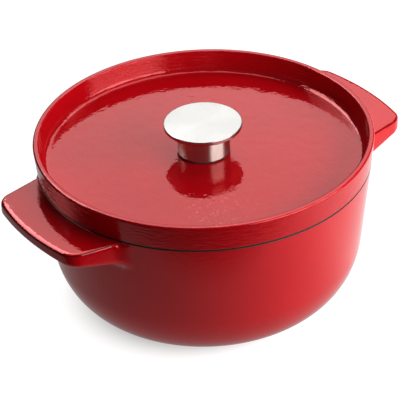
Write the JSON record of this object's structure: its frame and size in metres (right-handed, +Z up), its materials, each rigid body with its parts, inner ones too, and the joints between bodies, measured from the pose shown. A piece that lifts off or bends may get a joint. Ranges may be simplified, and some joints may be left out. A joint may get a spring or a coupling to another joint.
{
  "type": "cast iron dutch oven",
  "caption": "Round enamelled cast-iron dutch oven with flat tab handles and a lift-off lid, a flat tray inside a raised rim with a steel disc knob.",
  "frame": {"origin": "centre of the pot's underside, on the surface it stands on", "axes": "+Z up, +X through the two side handles, +Y square to both"},
  "size_m": [0.334, 0.27, 0.1497],
  "materials": {
    "red_enamel": "glossy red enamel outside, cream enamel inside, dark ground coat on the rims",
    "knob_steel": "brushed cap face, polished cap edge and neck",
    "hardware_steel": "plain bright steel",
    "gasket_rubber": "matte heat-resistant ring"
  },
  "bodies": {
    "pot": {"pot_body": "red_enamel"},
    "lid": {"lid": "red_enamel", "knob_cap": "knob_steel", "knob_neck": "knob_steel", "knob_insert": "hardware_steel", "knob_gasket": "gasket_rubber", "fixing_screw": "hardware_steel", "flat_washer": "hardware_steel", "spring_washer": "hardware_steel"}
  },
  "joints": [
    {"name": "lid_lift", "type": "slide", "parent": "pot", "child": "lid", "axis": [0, 0, 1], "range_m": [0, 0.16]}
  ]
}
